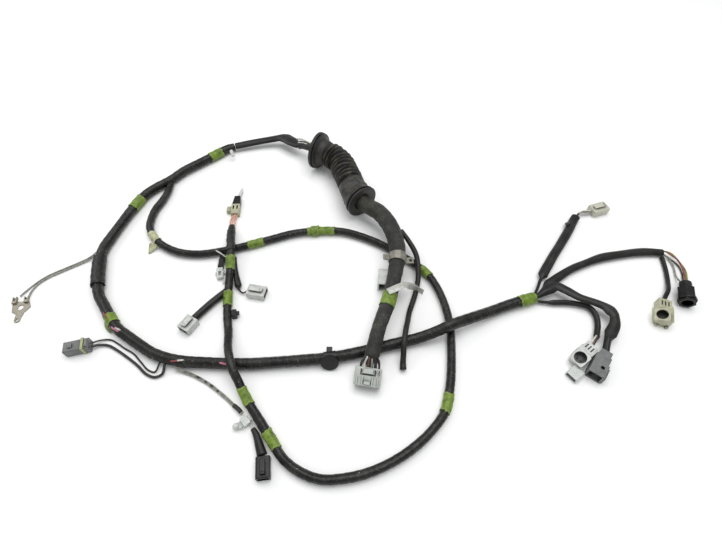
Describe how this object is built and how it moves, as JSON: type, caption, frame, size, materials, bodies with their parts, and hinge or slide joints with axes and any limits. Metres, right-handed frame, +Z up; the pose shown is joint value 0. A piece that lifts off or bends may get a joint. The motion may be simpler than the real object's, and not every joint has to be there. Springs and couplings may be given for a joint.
{
  "type": "wiring harness",
  "caption": "Used door wiring harness of a car, laid out loose: taped bundles in a loop, ribbed rubber boot, green tape bands, tapped-off branches and nylon connectors.",
  "frame": {"origin": "middle of the footprint, on the surface that the harness lies on", "axes": "+X along the longest extent, towards the two round-socket branches; +Y across, towards the rubber boot; +Z up from the surface"},
  "size_m": [0.781, 0.4752, 0.0499],
  "materials": {
    "black_vinyl": "matt vinyl tape and tube, slightly greasy",
    "stem_tape_cloth": "matt friction tape, dusty",
    "boot_rubber": "matt moulded rubber with dust in the folds",
    "green_tape": "semi-gloss vinyl tape, ragged edges",
    "cream_tape": "semi-gloss vinyl tape, yellowed",
    "white_nylon": "natural nylon, slightly translucent, grubby",
    "clear_nylon": "clear nylon, translucent",
    "cream_nylon": "yellowed nylon",
    "grey_nylon": "dyed nylon, satin",
    "black_nylon": "dyed nylon, satin",
    "label_paper": "bare coated strip, satin",
    "plated_steel": "zinc plate gone dull",
    "zinc_band": "dull grey zinc",
    "grey_wire": "wire insulation, satin",
    "black_wire": "wire insulation, satin",
    "yellow_wire": "wire insulation, satin",
    "orange_wire": "wire insulation, satin"
  },
  "bodies": {
    "root": {"stem_bundle": "stem_tape_cloth", "trunk_bundle": "black_vinyl", "loop_bundle": "black_vinyl", "spare_tube": "black_vinyl", "inlet_sleeve": "black_vinyl", "branch_a_sleeve": "black_vinyl", "branch_a_wires": "grey_wire", "branch_b_sleeve": "black_vinyl", "branch_b_yellow_wire": "yellow_wire", "branch_b_grey_wire": "grey_wire", "branch_b_taped_lead": "black_vinyl", "branch_c_sleeve": "black_vinyl", "branch_d_sleeve": "black_vinyl", "cluster_sleeve": "black_vinyl", "cluster_lead": "black_vinyl", "ground_wire_a": "grey_wire", "ground_wire_b": "grey_wire", "two_way_thick_wire": "black_wire", "two_way_thin_wire": "black_wire", "latch_lead": "grey_wire", "latch_sleeve": "black_vinyl", "loop_end_wires": "orange_wire", "boot": "boot_rubber", "band_clamp": "zinc_band", "stem_tape": "green_tape", "trunk_tape_1": "green_tape", "trunk_tape_2": "green_tape", "trunk_sheath": "black_vinyl", "trunk_tape_3": "green_tape", "trunk_tape_4": "green_tape", "round_clip": "black_nylon", "loop_tape_1": "cream_tape", "loop_tape_2": "green_tape", "loop_tape_3": "green_tape", "loop_tape_4": "green_tape", "loop_tape_5": "green_tape", "loop_tape_6": "green_tape", "loop_tape_7": "green_tape", "loop_tape_8": "green_tape", "loop_tape_9": "green_tape", "label_strip": "label_paper", "big_connector": "white_nylon", "side_connector": "white_nylon", "block_connector": "white_nylon", "cream_connector": "cream_nylon", "black_connector": "black_nylon", "white_connector": "white_nylon", "grey_connector": "grey_nylon", "clear_connector": "clear_nylon", "two_way_connector": "grey_nylon", "earth_bracket": "plated_steel", "latch_connector": "black_nylon", "latch_clip": "clear_nylon", "cluster_plug": "black_nylon", "cluster_clip": "clear_nylon", "cluster_connector": "white_nylon", "square_connector": "white_nylon", "side_clip": "black_nylon", "junction_connector": "cream_nylon", "junction_cap": "black_nylon"}
  },
  "joints": []
}
